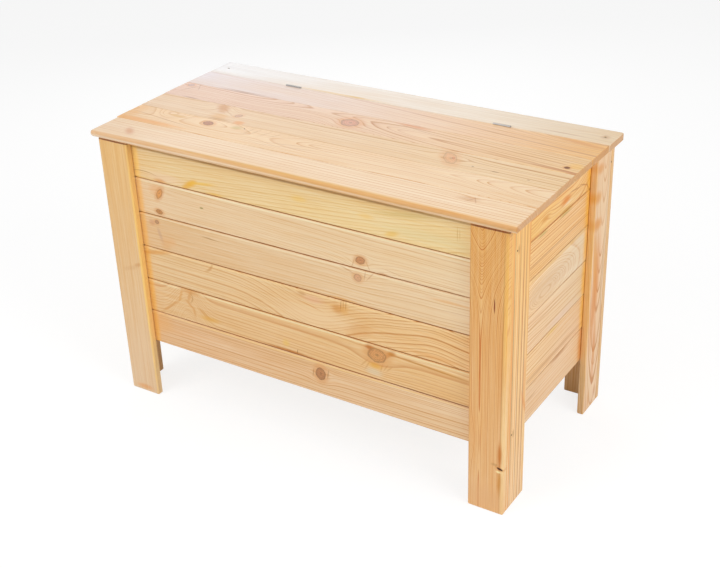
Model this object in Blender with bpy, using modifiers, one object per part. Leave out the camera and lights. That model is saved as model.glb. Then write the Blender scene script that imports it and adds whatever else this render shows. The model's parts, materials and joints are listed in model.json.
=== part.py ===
"""Pine storage chest with a hinged lid.

Four L-shaped corner posts of two boards each carry walls of six planks. Five boards on battens
make the lid, which swings on two butt hinges in front of a board fixed across the back.
Metres, +Z up. X runs along the chest, the front faces -Y, and the origin is on the floor in the
middle of the overall box.
"""
import math

import bmesh
import bpy
from mathutils import Matrix, Vector

# Board stock
THICKNESS = 0.015
PITCH = 0.0815
PLANK_JOINT = 0.0005
PLANKS_PER_WALL = 6
ARRIS = 0.0015

# Posts and walls
LENGTH = 0.965
LONG_WALL_ARRIS = 0.003
SIDE_WALL_ARRIS = 0.0012
LEG_HEIGHT = 0.140
POST_BOARD = 0.078
REAR_SIDE_BOARD = 0.072
POST_ARRIS = 0.0022

# Lid and fixed rear board
END_OVERSAIL = 0.0175
FRONT_OVERSAIL = 0.006
LID_BOARDS = 5
LID_PITCH = 0.0826
HINGE_JOINT = 0.0010
NOSING_RADIUS = 0.0073
BATTEN_WIDTH = 0.045
BATTEN_FRONT_ROOM = 0.020
BATTEN_REAR_ROOM = 0.014
BATTEN_END_ROOM = 0.060

# Bottom
BEARER_WIDTH = 0.030
BEARER_HEIGHT = 0.025
BOTTOM_BOARDS = 5
BOTTOM_JOINT = 0.0015

# Hinges
HINGE_LENGTH = 0.040
HINGE_FROM_END = 0.2375
LEAF_THICKNESS = 0.0012
LEAF_HEIGHT = 0.0125
LEAF_GAP = 0.0003
KNUCKLE_RADIUS = 0.0023
KNUCKLE_BORE = 0.00135
PIN_RADIUS = 0.00125
KNUCKLE_GAP = 0.0003
AXIS_RISE = 0.0005
GROOVE_ROOM = 0.0004

# Screws of the fixed board
SCREW_HEAD_RADIUS = 0.0032
SCREW_HEAD_DEPTH = 0.0022
SCREW_SHANK_RADIUS = 0.0016
SCREW_POINT = 0.005
SCREW_LENGTH = 0.040
SCREW_SINK = 0.0010
SCREW_FROM_BACK = 0.039

# Touching pieces keep this between them
SEAT = 0.0003

ROUND_SIDES = 24
MERGE = 0.00001

# Places that follow from the sizes
DEPTH = PLANKS_PER_WALL * PITCH
FRONT = FRONT_OVERSAIL / 2 - DEPTH / 2
BACK = FRONT + DEPTH
POST_TOP = LEG_HEIGHT + PLANKS_PER_WALL * PITCH
LID_UNDER = POST_TOP + SEAT
LID_TOP = LID_UNDER + THICKNESS
LID_END = LENGTH / 2 + END_OVERSAIL
HINGE_Y = FRONT + LID_BOARDS * LID_PITCH
HINGE_X = LID_END - HINGE_FROM_END
AXIS_Z = LID_TOP + AXIS_RISE
WALL_FRONT = FRONT + THICKNESS + SEAT
WALL_BACK = BACK - THICKNESS - SEAT
WALL_END = LENGTH / 2 - THICKNESS - SEAT
INSIDE_FRONT = WALL_FRONT + THICKNESS + SEAT
INSIDE_BACK = WALL_BACK - THICKNESS - SEAT
INSIDE_END = WALL_END - THICKNESS - SEAT

COLOURS = {
    "post": (0.72, 0.45, 0.20),
    "wall": (0.78, 0.53, 0.26),
    "lid": (0.85, 0.65, 0.42),
    "inside": (0.74, 0.55, 0.34),
    "steel": (0.55, 0.56, 0.58),
}


def clear_scene():
    """Remove every object and collection of the open file."""
    for obj in list(bpy.data.objects):
        bpy.data.objects.remove(obj, do_unlink=True)
    for collection in list(bpy.data.collections):
        bpy.data.collections.remove(collection)


def new_collection(name):
    """Add a collection to the scene."""
    collection = bpy.data.collections.new(name)
    bpy.context.scene.collection.children.link(collection)
    return collection


def paint(obj, kind):
    """Give the object a material of its own."""
    material = bpy.data.materials.new(obj.name)
    material.use_nodes = True
    shader = material.node_tree.nodes["Principled BSDF"]
    shader.inputs["Base Color"].default_value = (*COLOURS[kind], 1.0)
    shader.inputs["Roughness"].default_value = 0.35 if kind == "steel" else 0.45
    shader.inputs["Metallic"].default_value = 1.0 if kind == "steel" else 0.0
    obj.data.materials.append(material)


def link_mesh(name, bm, collection):
    """Turn a bmesh into an object of the collection."""
    mesh = bpy.data.meshes.new(name)
    bmesh.ops.recalc_face_normals(bm, faces=bm.faces)
    bm.to_mesh(mesh)
    bm.free()
    obj = bpy.data.objects.new(name, mesh)
    collection.objects.link(obj)
    return obj


def block(name, low, high, collection, origin=None):
    """A box between two corners, its object placed at the origin given or at its own middle."""
    low = Vector(low)
    high = Vector(high)
    middle = (low + high) / 2
    place = Vector(origin) if origin is not None else middle
    bm = bmesh.new()
    bmesh.ops.create_cube(bm, size=1.0)
    bmesh.ops.scale(bm, vec=high - low, verts=bm.verts)
    bmesh.ops.translate(bm, vec=middle - place, verts=bm.verts)
    obj = link_mesh(name, bm, collection)
    obj.location = place
    return obj


def ease(obj, width, segments=1):
    """Round the arrises."""
    bevel = obj.modifiers.new("arris", "BEVEL")
    bevel.width = width
    bevel.segments = segments
    bevel.limit_method = "ANGLE"
    bevel.angle_limit = math.radians(60)
    return bevel


def board(name, low, high, kind, collection, arris=ARRIS, origin=None):
    """A sawn and planed board with eased arrises."""
    obj = block(name, low, high, collection, origin)
    ease(obj, arris)
    paint(obj, kind)
    return obj


def cut(obj, cutter):
    """Take the cutter's shape out of the object."""
    boolean = obj.modifiers.new(cutter.name, "BOOLEAN")
    boolean.operation = "DIFFERENCE"
    boolean.solver = "EXACT"
    boolean.object = cutter


def make_cutter(obj):
    """Hide a shape that only cuts others."""
    obj.hide_render = True
    obj.display_type = "WIRE"
    return obj


def rod(name, radius, start, end, collection, sides=ROUND_SIDES):
    """A round bar along X between two places on the hinge axis."""
    bm = bmesh.new()
    length = end - start
    bmesh.ops.create_cone(bm, cap_ends=True, segments=sides, radius1=radius, radius2=radius, depth=length)
    bmesh.ops.rotate(bm, cent=(0, 0, 0), matrix=Matrix.Rotation(math.pi / 2, 3, "Y"), verts=bm.verts)
    obj = link_mesh(name, bm, collection)
    obj.location = ((start + end) / 2, HINGE_Y, AXIS_Z)
    return obj


def make_posts(parts):
    """Four posts: a face board that laps the edge of a side board."""
    for side, sign in (("left", -1), ("right", 1)):
        outer = sign * LENGTH / 2
        inner = sign * (LENGTH / 2 - POST_BOARD)
        shelf = sign * (LENGTH / 2 - THICKNESS)
        for end, face, lap, width in (
            ("front", FRONT, 1, POST_BOARD),
            ("rear", BACK, -1, REAR_SIDE_BOARD),
        ):
            back_of_face = face + lap * THICKNESS
            edge = back_of_face + lap * SEAT
            board(
                f"{end}_{side}_post_face",
                (min(outer, inner), min(face, back_of_face), 0),
                (max(outer, inner), max(face, back_of_face), POST_TOP),
                "post",
                parts,
                POST_ARRIS,
            )
            board(
                f"{end}_{side}_post_side",
                (min(outer, shelf), min(edge, edge + lap * width), 0),
                (max(outer, shelf), max(edge, edge + lap * width), POST_TOP),
                "post",
                parts,
                POST_ARRIS,
            )


def make_walls(parts):
    """Six planks a wall. The front and back walls run through, the side walls fit between them."""
    walls = (
        ("front", (-WALL_END, WALL_FRONT), (WALL_END, WALL_FRONT + THICKNESS), LONG_WALL_ARRIS),
        ("back", (-WALL_END, WALL_BACK - THICKNESS), (WALL_END, WALL_BACK), LONG_WALL_ARRIS),
        ("left", (-WALL_END, INSIDE_FRONT), (-WALL_END + THICKNESS, INSIDE_BACK), SIDE_WALL_ARRIS),
        ("right", (WALL_END - THICKNESS, INSIDE_FRONT), (WALL_END, INSIDE_BACK), SIDE_WALL_ARRIS),
    )
    for wall, low, high, arris in walls:
        for row in range(PLANKS_PER_WALL):
            bottom = LEG_HEIGHT + row * PITCH
            top = bottom + PITCH - PLANK_JOINT
            if row == PLANKS_PER_WALL - 1:
                top = POST_TOP
            board(f"{wall}_plank_{row + 1}", (*low, bottom), (*high, top), "wall", parts, arris)


def make_bottom(parts):
    """Five lengthwise boards on three bearers."""
    end = INSIDE_END - BEARER_WIDTH / 2
    for name, x in (("left", -end), ("middle", 0.0), ("right", end)):
        board(
            f"bottom_bearer_{name}",
            (x - BEARER_WIDTH / 2, INSIDE_FRONT, LEG_HEIGHT),
            (x + BEARER_WIDTH / 2, INSIDE_BACK, LEG_HEIGHT + BEARER_HEIGHT),
            "inside",
            parts,
        )
    top_of_bearer = LEG_HEIGHT + BEARER_HEIGHT + SEAT
    step = (INSIDE_BACK - INSIDE_FRONT + BOTTOM_JOINT) / BOTTOM_BOARDS
    for row in range(BOTTOM_BOARDS):
        front = INSIDE_FRONT + row * step
        board(
            f"bottom_board_{row + 1}",
            (-INSIDE_END, front, top_of_bearer),
            (INSIDE_END, front + step - BOTTOM_JOINT, top_of_bearer + THICKNESS),
            "inside",
            parts,
        )


def hinge_places():
    """The middle of each hinge along X."""
    return (("left", -HINGE_X), ("right", HINGE_X))


def cut_hinge_beds(obj, side, cutters):
    """Cut the two hinges' leaf pockets and knuckle grooves. Side is -1 for the lid, +1 for the fixed board."""
    reach = HINGE_LENGTH / 2 + SEAT
    for name, x in hinge_places():
        deep = side * (LEAF_GAP / 2 + LEAF_THICKNESS + SEAT)
        low = min(HINGE_Y - side * THICKNESS, HINGE_Y + deep)
        high = max(HINGE_Y - side * THICKNESS, HINGE_Y + deep)
        pocket = block(
            f"{obj.name}_pocket_{name}",
            (x - reach, low, AXIS_Z - LEAF_HEIGHT - SEAT),
            (x + reach, high, AXIS_Z + THICKNESS),
            cutters,
        )
        radius = KNUCKLE_RADIUS + GROOVE_ROOM
        groove = rod(f"{obj.name}_groove_{name}", radius, x - reach, x + reach, cutters)
        cut(obj, make_cutter(pocket))
        cut(obj, make_cutter(groove))


def make_lid(parts, cutters, pivot):
    """Five boards and three battens that turn together about the hinge axis."""
    axis = (0.0, HINGE_Y, AXIS_Z)
    for row in range(LID_BOARDS):
        front = FRONT + row * LID_PITCH
        back = front + LID_PITCH - PLANK_JOINT
        if row == 0:
            front -= FRONT_OVERSAIL
        if row == LID_BOARDS - 1:
            back = HINGE_Y - HINGE_JOINT / 2
        name = f"lid_board_{row + 1}"
        obj = block(name, (-LID_END, front, LID_UNDER), (LID_END, back, LID_TOP), parts, axis)
        if row == 0:
            round_nosing(obj, front)
        ease(obj, ARRIS)
        if row == LID_BOARDS - 1:
            cut_hinge_beds(obj, -1, cutters)
        paint(obj, "lid")
        obj.parent = pivot
        obj.location = (0, 0, 0)
    batten_front = INSIDE_FRONT + BATTEN_FRONT_ROOM
    batten_back = HINGE_Y - BATTEN_REAR_ROOM
    end = INSIDE_END - BATTEN_END_ROOM
    for name, x in (("left", -end), ("middle", 0.0), ("right", end)):
        obj = board(
            f"lid_batten_{name}",
            (x - BATTEN_WIDTH / 2, batten_front, LID_UNDER - SEAT - THICKNESS),
            (x + BATTEN_WIDTH / 2, batten_back, LID_UNDER - SEAT),
            "inside",
            parts,
            ARRIS,
            axis,
        )
        obj.parent = pivot
        obj.location = (0, 0, 0)


def round_nosing(obj, front):
    """Turn the board's front edge into a half round."""
    bm = bmesh.new()
    bm.from_mesh(obj.data)
    edge_y = front - HINGE_Y
    edges = [e for e in bm.edges if all(abs(v.co.y - edge_y) < SEAT for v in e.verts)]
    edges = [e for e in edges if abs(e.verts[0].co.x - e.verts[1].co.x) > LENGTH]
    bmesh.ops.bevel(
        bm,
        geom=edges,
        offset=NOSING_RADIUS,
        segments=6,
        profile=0.5,
        affect="EDGES",
        clamp_overlap=True,
        material=-1,
    )
    bm.to_mesh(obj.data)
    bm.free()


def make_fixed_board(parts, cutters):
    """The board across the back of the top, cut for the hinges and for its screws."""
    name = "rear_top_board"
    low = (-LID_END, HINGE_Y + HINGE_JOINT / 2, LID_UNDER)
    obj = board(name, low, (LID_END, BACK, LID_TOP), "lid", parts)
    cut_hinge_beds(obj, 1, cutters)
    return obj


def leaf(name, side, knuckles, x, parts, cutters):
    """One leaf of a hinge: a plate with its knuckles and a bore for the pin."""
    half = HINGE_LENGTH / 2
    near = side * LEAF_GAP / 2
    far = near + side * LEAF_THICKNESS
    axis = (0.0, HINGE_Y, AXIS_Z)
    obj = block(
        name,
        (x - half, HINGE_Y + min(near, far), AXIS_Z - LEAF_HEIGHT),
        (x + half, HINGE_Y + max(near, far), AXIS_Z - KNUCKLE_RADIUS - GROOVE_ROOM),
        parts,
        axis,
    )
    for number, (start, end) in enumerate(knuckles):
        neck = block(
            f"{name}_neck_{number + 1}",
            (x + start, HINGE_Y + min(near, far), AXIS_Z - KNUCKLE_RADIUS - 2 * GROOVE_ROOM),
            (x + end, HINGE_Y + max(near, far), AXIS_Z - KNUCKLE_BORE),
            cutters,
        )
        barrel = rod(f"{name}_barrel_{number + 1}", KNUCKLE_RADIUS, x + start, x + end, cutters)
        for shape in (neck, barrel):
            join = obj.modifiers.new(shape.name, "BOOLEAN")
            join.operation = "UNION"
            join.solver = "EXACT"
            join.object = make_cutter(shape)
    bore = rod(f"{name}_bore", KNUCKLE_BORE, x - half - THICKNESS, x + half + THICKNESS, cutters)
    cut(obj, make_cutter(bore))
    paint(obj, "steel")
    return obj


def make_hinge(side_name, x, parts, cutters, pivot):
    """A butt hinge: the fixed leaf has the outer knuckles, the lid's leaf the middle one."""
    half = HINGE_LENGTH / 2
    sixth = HINGE_LENGTH / 6
    outer = ((-half, -sixth - KNUCKLE_GAP / 2), (sixth + KNUCKLE_GAP / 2, half))
    inner = ((-sixth + KNUCKLE_GAP / 2, sixth - KNUCKLE_GAP / 2),)
    leaf(f"hinge_{side_name}_fixed_leaf", 1, outer, x, parts, cutters)
    moving = leaf(f"hinge_{side_name}_lid_leaf", -1, inner, x, parts, cutters)
    moving.parent = pivot
    moving.location = (0, 0, 0)
    pin = rod(f"hinge_{side_name}_pin", PIN_RADIUS, x - half, x + half, parts)
    paint(pin, "steel")


def make_screws(fixed_board, parts, cutters):
    """A countersunk screw at each end, down through the fixed board into the rear post's side board."""
    y = BACK - SCREW_FROM_BACK
    for side, sign in (("left", -1), ("right", 1)):
        x = sign * (LENGTH - THICKNESS) / 2
        screw = turned_screw(f"rear_board_screw_{side}", (x, y), 0.0, 0.0, parts)
        paint(screw, "steel")
        hole = make_cutter(turned_screw(f"screw_hole_{side}", (x, y), SEAT, THICKNESS, cutters))
        cut(fixed_board, hole)
        cut(bpy.data.objects[f"rear_{side}_post_side"], hole)


def turned_screw(name, place, room, above, collection):
    """A countersunk screw, or with room round it and a run above its head, the hole that it sits in."""
    neck = -SCREW_HEAD_DEPTH
    outline = (
        (0.0, above),
        (SCREW_HEAD_RADIUS + room, above),
        (SCREW_HEAD_RADIUS + room, neck * 0.25),
        (SCREW_SHANK_RADIUS + room, neck - room),
        (SCREW_SHANK_RADIUS + room, SCREW_POINT - SCREW_LENGTH),
        (0.0, -SCREW_LENGTH - room),
    )
    bm = bmesh.new()
    verts = [bm.verts.new((radius, 0.0, z)) for radius, z in outline]
    for first, second in zip(verts, verts[1:]):
        bm.edges.new((first, second))
    mesh = bpy.data.meshes.new(name)
    bm.to_mesh(mesh)
    bm.free()
    obj = bpy.data.objects.new(name, mesh)
    collection.objects.link(obj)
    obj.location = (*place, LID_TOP - SCREW_SINK)
    turn = obj.modifiers.new("turn", "SCREW")
    turn.axis = "Z"
    turn.angle = 2 * math.pi
    turn.steps = ROUND_SIDES
    turn.render_steps = turn.steps
    turn.use_merge_vertices = True
    turn.merge_threshold = MERGE
    return obj


def main():
    clear_scene()
    parts = new_collection("storage_chest")
    cutters = new_collection("cutters")
    pivot = bpy.data.objects.new("lid_axis", None)
    pivot.location = (0.0, HINGE_Y, AXIS_Z)
    pivot.empty_display_size = PITCH
    parts.objects.link(pivot)
    make_posts(parts)
    make_walls(parts)
    make_bottom(parts)
    make_lid(parts, cutters, pivot)
    fixed_board = make_fixed_board(parts, cutters)
    for side_name, x in hinge_places():
        make_hinge(side_name, x, parts, cutters, pivot)
    make_screws(fixed_board, parts, cutters)


main()
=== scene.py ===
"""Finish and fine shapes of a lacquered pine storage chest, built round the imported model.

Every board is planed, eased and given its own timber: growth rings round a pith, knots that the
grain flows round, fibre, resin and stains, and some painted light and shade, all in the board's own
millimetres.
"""

import json
import math
import random

import bmesh
import bpy
from bpy.props import FloatProperty, FloatVectorProperty, IntProperty, PointerProperty
from mathutils import Matrix, Vector


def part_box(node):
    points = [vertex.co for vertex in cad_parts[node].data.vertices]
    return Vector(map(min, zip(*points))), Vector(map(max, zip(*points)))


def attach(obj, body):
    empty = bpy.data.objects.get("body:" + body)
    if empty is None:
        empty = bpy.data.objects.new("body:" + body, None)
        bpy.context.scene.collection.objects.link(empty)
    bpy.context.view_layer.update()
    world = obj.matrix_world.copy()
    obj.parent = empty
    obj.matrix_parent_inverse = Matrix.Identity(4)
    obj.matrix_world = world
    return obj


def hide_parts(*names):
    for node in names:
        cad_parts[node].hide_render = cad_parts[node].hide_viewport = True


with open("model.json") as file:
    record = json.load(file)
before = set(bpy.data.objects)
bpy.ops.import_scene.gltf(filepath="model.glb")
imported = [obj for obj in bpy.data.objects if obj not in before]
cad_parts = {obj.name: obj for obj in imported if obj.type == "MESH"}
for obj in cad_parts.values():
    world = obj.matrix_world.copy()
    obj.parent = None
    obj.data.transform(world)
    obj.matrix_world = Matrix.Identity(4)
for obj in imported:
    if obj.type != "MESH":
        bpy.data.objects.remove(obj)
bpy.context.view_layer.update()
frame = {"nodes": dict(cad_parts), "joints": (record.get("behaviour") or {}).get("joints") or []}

bl_info = {
    "name": "Pine storage chest",
    "version": (1, 0, 0),
    "blender": (4, 5, 0),
    "location": "View3D > Sidebar > Chest",
    "description": "Builds the finish of a lacquered pine chest round its packed model",
    "category": "Object",
}

MM = 0.001
HINGE_Y, HINGE_Z = frame["joints"][0]["pos_m"][1:]

# Nails in the posts' side boards: places along Y and Z in metres.
FRONT_NAILS = ((-0.209, 0.1755), (-0.2065, 0.5765))
REAR_NAILS = ((0.234, 0.5825),)

# Millimetres out from the surface: a nail's foot, its head, and the mouth of its hole.
NAIL_DEPTHS = (-1.6, -0.25, 1.0)

# Millimetres up from the fixed board's top: over a screw hole, its rim's foot, its cone's foot, its own foot.
SCREW_HOLE_STEPS = (10, -0.3, -2.6, -40)

# The sides of a round head, the folds that are shaded smooth and the folds that are rounded off.
HEAD_SIDES = 20
SMOOTH_ANGLE = math.radians(40)
SHARP_ANGLE = math.radians(50)

# Noises of the wood: waves per metre along and across the grain, detail and roughness.
NOISES = (
    ("Broad", 1.6, 6.0, 2.0, 0.5),       # the trunk's sway, 600 mm by 170 mm
    ("Small", 9.0, 34.0, 2.0, 0.5),      # ripples of the rings, 110 mm by 30 mm
    ("Fibre", 60.0, 1200.0, 2.0, 0.6),   # fibres, 17 mm by 0.8 mm: coarser than real ones, so that they show
    ("Streak", 7.0, 260.0, 3.0, 0.6),    # denser streaks, 140 mm by 4 mm
    ("Cloud", 3.2, 14.0, 3.0, 0.5),      # slow changes of colour, 310 mm by 70 mm
    ("Feather", 40.0, 350.0, 3.0, 0.5),  # the feathered edges of stains and painted light, 25 mm by 3 mm
)

# The most that the slow clouds warm the wood.
CLOUD_AMOUNT = 0.25

# Soft studio lamps: name, place in metres, size in metres, power in watts.
LAMPS = (
    ("overhead_softbox", (0.0, 0.0, 3.0), (3.0, 2.4), 7.8),
    ("rear_softbox", (-1.3, 1.9, 1.25), (1.6, 0.6), 8.0),
    ("right_softbox", (2.5, -0.6, 1.95), (1.6, 1.6), 37.5),
    ("front_softbox", (-0.95, -2.35, 2.25), (1.7, 1.7), 34.7),
)
LAMP_AIM = (0.0, 0.0, 0.35)
WORLD_LEVEL = 0.40
WHITE = (1.0, 1.0, 1.0)

# Half the floor's width in metres, its gap under the feet, and what the camera sees of it: a share of its
# colour and a glow that brings it up to white.
FLOOR_REACH = 30.0
FLOOR_GAP = 0.2 * MM
FLOOR_SHARE = 0.28
FLOOR_GLOW = 0.80

# The camera that was fitted to the photo: metres, degrees and millimetres.
CAMERA_PLACE = (1.329, -2.0258, 1.6034)
CAMERA_AZIMUTH = 33.098
CAMERA_ELEVATION = 28.58
CAMERA_ROLL = -2.207
CAMERA_LENS = 62.44
CAMERA_SENSOR = 36.0


def linear(code):
    """An sRGB hex colour as linear RGB."""
    values = [int(code[i:i + 2], 16) / 255 for i in (0, 2, 4)]
    return tuple(v / 12.92 if v <= 0.04045 else ((v + 0.055) / 1.055) ** 2.4 for v in values)


def add(tree, kind, inputs=None, **settings):
    """Add a node with its settings, then link or set its inputs. A node as a value is its output in use."""
    node = tree.nodes.new(kind if kind.startswith("NodeGroup") else f"ShaderNode{kind}")
    for key, value in settings.items():
        setattr(node, key, value)
    for name, value in (inputs or {}).items():
        socket = node.inputs[name]
        if isinstance(value, bpy.types.Node):
            value = next(output for output in value.outputs if output.enabled)
        if isinstance(value, bpy.types.NodeSocket):
            tree.links.new(value, socket)
        elif socket.type == "RGBA":
            socket.default_value = (*value[:3], 1.0)
        else:
            socket.default_value = value
    return node


def millimetres(name, description, size):
    """A length for the sidebar, given in millimetres."""
    return FloatProperty(name=name, description=description, default=size * MM, min=0.0, unit="LENGTH")


def hex_colour(name, description, code):
    """A colour for the sidebar, given in sRGB hex."""
    return FloatVectorProperty(name=name, description=description, default=linear(code), subtype="COLOR")


class ChestSizes(bpy.types.PropertyGroup):
    """Sizes of the boards' finish and of the small metal parts."""

    post_arris: millimetres("Post arris", "Rounding of the post boards' edges", 2.6)
    long_wall_arris: millimetres("Long wall arris", "Rounding of the front and back planks' edges", 2.2)
    side_wall_arris: millimetres("Side wall arris", "Rounding of the side planks' edges", 1.2)
    lid_arris: millimetres("Lid arris", "Rounding of the lid boards' edges", 1.2)
    nosing: millimetres("Nosing", "Radius of the lid's half-round front and left edge", 7.3)
    rear_corner: millimetres("Rear corner", "Rounding of the rear board's outer corners in plan", 4.5)
    board_corner: millimetres("Board corner", "Rounding of the top boards' other corners in plan", 2.2)
    joint: millimetres("Joint", "How far the wall planks' long edges stand back", 0.4)
    inside_arris: millimetres("Inside arris", "Rounding of hidden boards' edges", 1.2)
    nail_head: millimetres("Nail head", "Radius of the nails' heads", 1.9)
    screw_head: millimetres("Screw head", "Radius of the battens' screw heads", 3.4)
    arris_segments: IntProperty(name="Arris faces", description="Faces across a rounding", default=4, min=1)
    nosing_segments: IntProperty(name="Nosing faces", description="Faces across the nosing", default=8, min=1)


class ChestColours(bpy.types.PropertyGroup):
    """Colours that all boards or fittings share."""

    resin: hex_colour("Resin", "Resin-rich wood round knots", "D98B3C")
    cloud: hex_colour("Cloud", "Warmer wood in slow clouds along the boards", "E0B070")
    end_grain: hex_colour("End grain", "Tint of the boards' sawn ends", "BE7F3C")
    zinc: hex_colour("Zinc", "Plated steel of the hinges", "A3A19E")
    old_screw: hex_colour("Screw", "Dulled plate of the screws", "B4A894")
    iron: hex_colour("Nail", "Dark iron of the nails", "5A4430")
    floor: hex_colour("Floor", "Studio floor", "F4F4F4")


def patch(along, across, half_length, half_width, turn):
    """The place and size of a mark on a board, from millimetres and degrees."""
    return {"Centre": (along * MM, across * MM, 0.0), "Radii": (half_length * MM, half_width * MM, 1.0),
            "Turn": math.radians(turn)}


def knot(along, across, half_length, half_width, colour, shade=0.9, turn=0.0, pull=0.8):
    """A knot. The pull is how far the grain flows round it."""
    return {**patch(along, across, half_length, half_width, turn), "Pull": pull, "Own shade": shade,
            "Own colour": linear(colour)}


def swirl(along, across, half_length, half_width, height, turn=0.0):
    """A place where the growth rings bulge by a height, in millimetres."""
    return {**patch(along, across, half_length, half_width, turn), "Height": height * MM}


def stain_and_light(along, across, half_length, half_width, colour, strength=0.5, turn=0.0, bend=0.0, soft=0.7):
    """Resin, heartwood, a check, one strong growth line, or a patch of painted light or shade. Its ends rise
    by the bend, in millimetres.
    """
    return {**patch(along, across, half_length, half_width, turn), "Bend": bend / half_width,
            "Strength": strength, "Soft": soft, "Own colour": linear(colour)}


class Timber:
    """What sets one board apart from the next. Lengths are in millimetres.

    Its colours are the pale wood at one end, the late wood, and the pale wood at the other end. Its knots,
    swirls, and stains and painted light are rows of what the functions knot, swirl and stain_and_light take.
    The drift is how far the pith leans in a metre, across and through the board, and the ends are how far
    the board steps out at its left and right.
    """

    def __init__(self, pale, late, pale_end=None, ring=5.0, pith=(30.0, -60.0), drift=(0.0, 0.0), wander=6.0,
                 contrast=(0.8, 0.8), knots=(), swirls=(), stains_and_light=(), seed=0.0, ends=(0.0, 0.0)):
        self.pale = linear(pale)
        self.pale_end = linear(pale_end or pale)
        self.late = linear(late)
        self.growth = {
            "Ring": ring * MM,
            "Pith": (0.0, pith[0] * MM, pith[1] * MM),
            "Drift": (0.0, drift[0] * MM, drift[1] * MM),
            "Wander": wander * MM,
            "Seed": seed,
        }
        self.contrast = contrast
        self.knots = [knot(*row) for row in knots]
        self.swirls = [swirl(*row) for row in swirls]
        self.stains_and_light = [stain_and_light(*row) for row in stains_and_light]
        self.ends = [step * MM for step in ends]


def new_group(name, inputs, outputs):
    """An empty node group with its sockets, and the outputs of its input node."""
    kinds = {"Vector": "Vector", "Board": "Vector", "Centre": "Vector", "Radii": "Vector",
             "Pith": "Vector", "Drift": "Vector", "Colour": "Color", "Own colour": "Color"}
    tree = bpy.data.node_groups.new(name, "ShaderNodeTree")
    for way, items in (("INPUT", inputs), ("OUTPUT", outputs)):
        for item in items.split(", "):
            tree.interface.new_socket(item, in_out=way, socket_type=f"NodeSocket{kinds.get(item, 'Float')}")
    return tree, add(tree, "NodeGroupInput").outputs


def set_stops(ramp, stops):
    """Give a colour ramp its grey stops."""
    elements = ramp.color_ramp.elements
    elements.remove(elements[1])
    for number, (place, level) in enumerate(stops):
        stop = elements[0] if number == 0 else elements.new(place)
        stop.position = place
        stop.color = (level, level, level, 1.0)


def growth_group():
    """Growth rings round a pith, their spacing and strength uneven, with fibre, streaks and slow colour."""
    name = "pine_growth"
    if name in bpy.data.node_groups:
        return bpy.data.node_groups[name]
    tree, given = new_group(name, "Vector, Lift, Pith, Drift, Ring, Wander, Seed",
                            "Late, Fibre, Streak, Cloud, Feather")
    # Each seed shows another part of the same noises.
    offset = add(tree, "VectorMath", {0: (7.31, 3.17, 5.73), "Scale": given["Seed"]}, operation="SCALE")
    seeded = add(tree, "VectorMath", {0: given["Vector"], 1: offset}, operation="ADD")

    noises = {}
    for kind, lengthwise, crosswise, detail, rough in NOISES:
        waves = (lengthwise, crosswise, crosswise)
        scaled = add(tree, "VectorMath", {0: seeded, 1: waves}, operation="MULTIPLY")
        noises[kind] = add(tree, "TexNoise", {"Vector": scaled, "Scale": 1.0, "Detail": detail,
                                              "Roughness": rough}).outputs
    # The place sways with the trunk before its distance from the pith is measured.
    moved = given["Vector"]
    for kind, share in (("Broad", 1.0), ("Small", 0.20)):
        colour = noises[kind]["Color"]
        centred = add(tree, "VectorMath", {0: colour, 1: (0.5, 0.5, 0.5)}, operation="SUBTRACT")
        size = add(tree, "Math", {0: given["Wander"], 1: share * 2.0}, operation="MULTIPLY")
        step = add(tree, "VectorMath", {0: centred, "Scale": size}, operation="SCALE")
        moved = add(tree, "VectorMath", {0: moved, 1: step}, operation="ADD")
    along = add(tree, "SeparateXYZ", {0: given["Vector"]})
    lean = add(tree, "VectorMath", {0: given["Drift"], "Scale": along}, operation="SCALE")
    pith = add(tree, "VectorMath", {0: given["Pith"], 1: lean}, operation="ADD")
    from_pith = add(tree, "VectorMath", {0: moved, 1: pith}, operation="SUBTRACT")
    across = add(tree, "VectorMath", {0: from_pith, 1: (0.0, 1.0, 1.0)}, operation="MULTIPLY")
    radius = add(tree, "VectorMath", {0: across}, operation="LENGTH")
    radius = add(tree, "Math", {0: radius, 1: given["Lift"]}, operation="ADD")
    years = add(tree, "Math", {0: radius, 1: given["Ring"]}, operation="DIVIDE")
    # Wide and narrow years come in spells of about three.
    season = add(tree, "Math", {0: years, 1: 0.31, 2: given["Seed"]}, operation="MULTIPLY_ADD")
    uneven = add(tree, "TexNoise", {"W": season, "Scale": 1.0, "Detail": 1.0}, noise_dimensions="1D")
    count = add(tree, "Math", {0: uneven, 1: 2.4, 2: years}, operation="MULTIPLY_ADD")
    # Pale early wood darkens slowly to the late wood, which ends sharply.
    part = add(tree, "Math", {0: count}, operation="FRACT")
    ramp = add(tree, "ValToRGB", {0: part})
    set_stops(ramp, ((0.0, 0.0), (0.50, 0.05), (0.72, 0.30), (0.86, 1.0), (0.94, 0.85), (1.0, 0.0)))
    # No two years' late wood is equally dark.
    year = add(tree, "Math", {0: count}, operation="FLOOR")
    luck = add(tree, "TexWhiteNoise", {"W": year}, noise_dimensions="1D")
    strength = add(tree, "MapRange", {0: luck, 3: 0.45, 4: 1.0})
    late = add(tree, "Math", {0: ramp, 1: strength}, operation="MULTIPLY")
    add(tree, "NodeGroupOutput", {"Late": late, "Fibre": noises["Fibre"]["Fac"],
                                  "Streak": noises["Streak"]["Fac"], "Cloud": noises["Cloud"]["Fac"],
                                  "Feather": noises["Feather"]["Fac"]})
    return tree


def from_patch(tree, given):
    """The vector from a patch's centre, and the same turned and in the patch's own radii."""
    offset = add(tree, "VectorMath", {0: given["Board"], 1: given["Centre"]}, operation="SUBTRACT")
    flat = add(tree, "VectorMath", {0: offset, 1: (1.0, 1.0, 0.0)}, operation="MULTIPLY")
    turned = add(tree, "VectorRotate", {"Vector": flat, "Angle": given["Turn"]}, rotation_type="Z_AXIS",
                 invert=True)
    ratio = add(tree, "VectorMath", {0: turned, 1: given["Radii"]}, operation="DIVIDE")
    return flat, ratio


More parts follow.
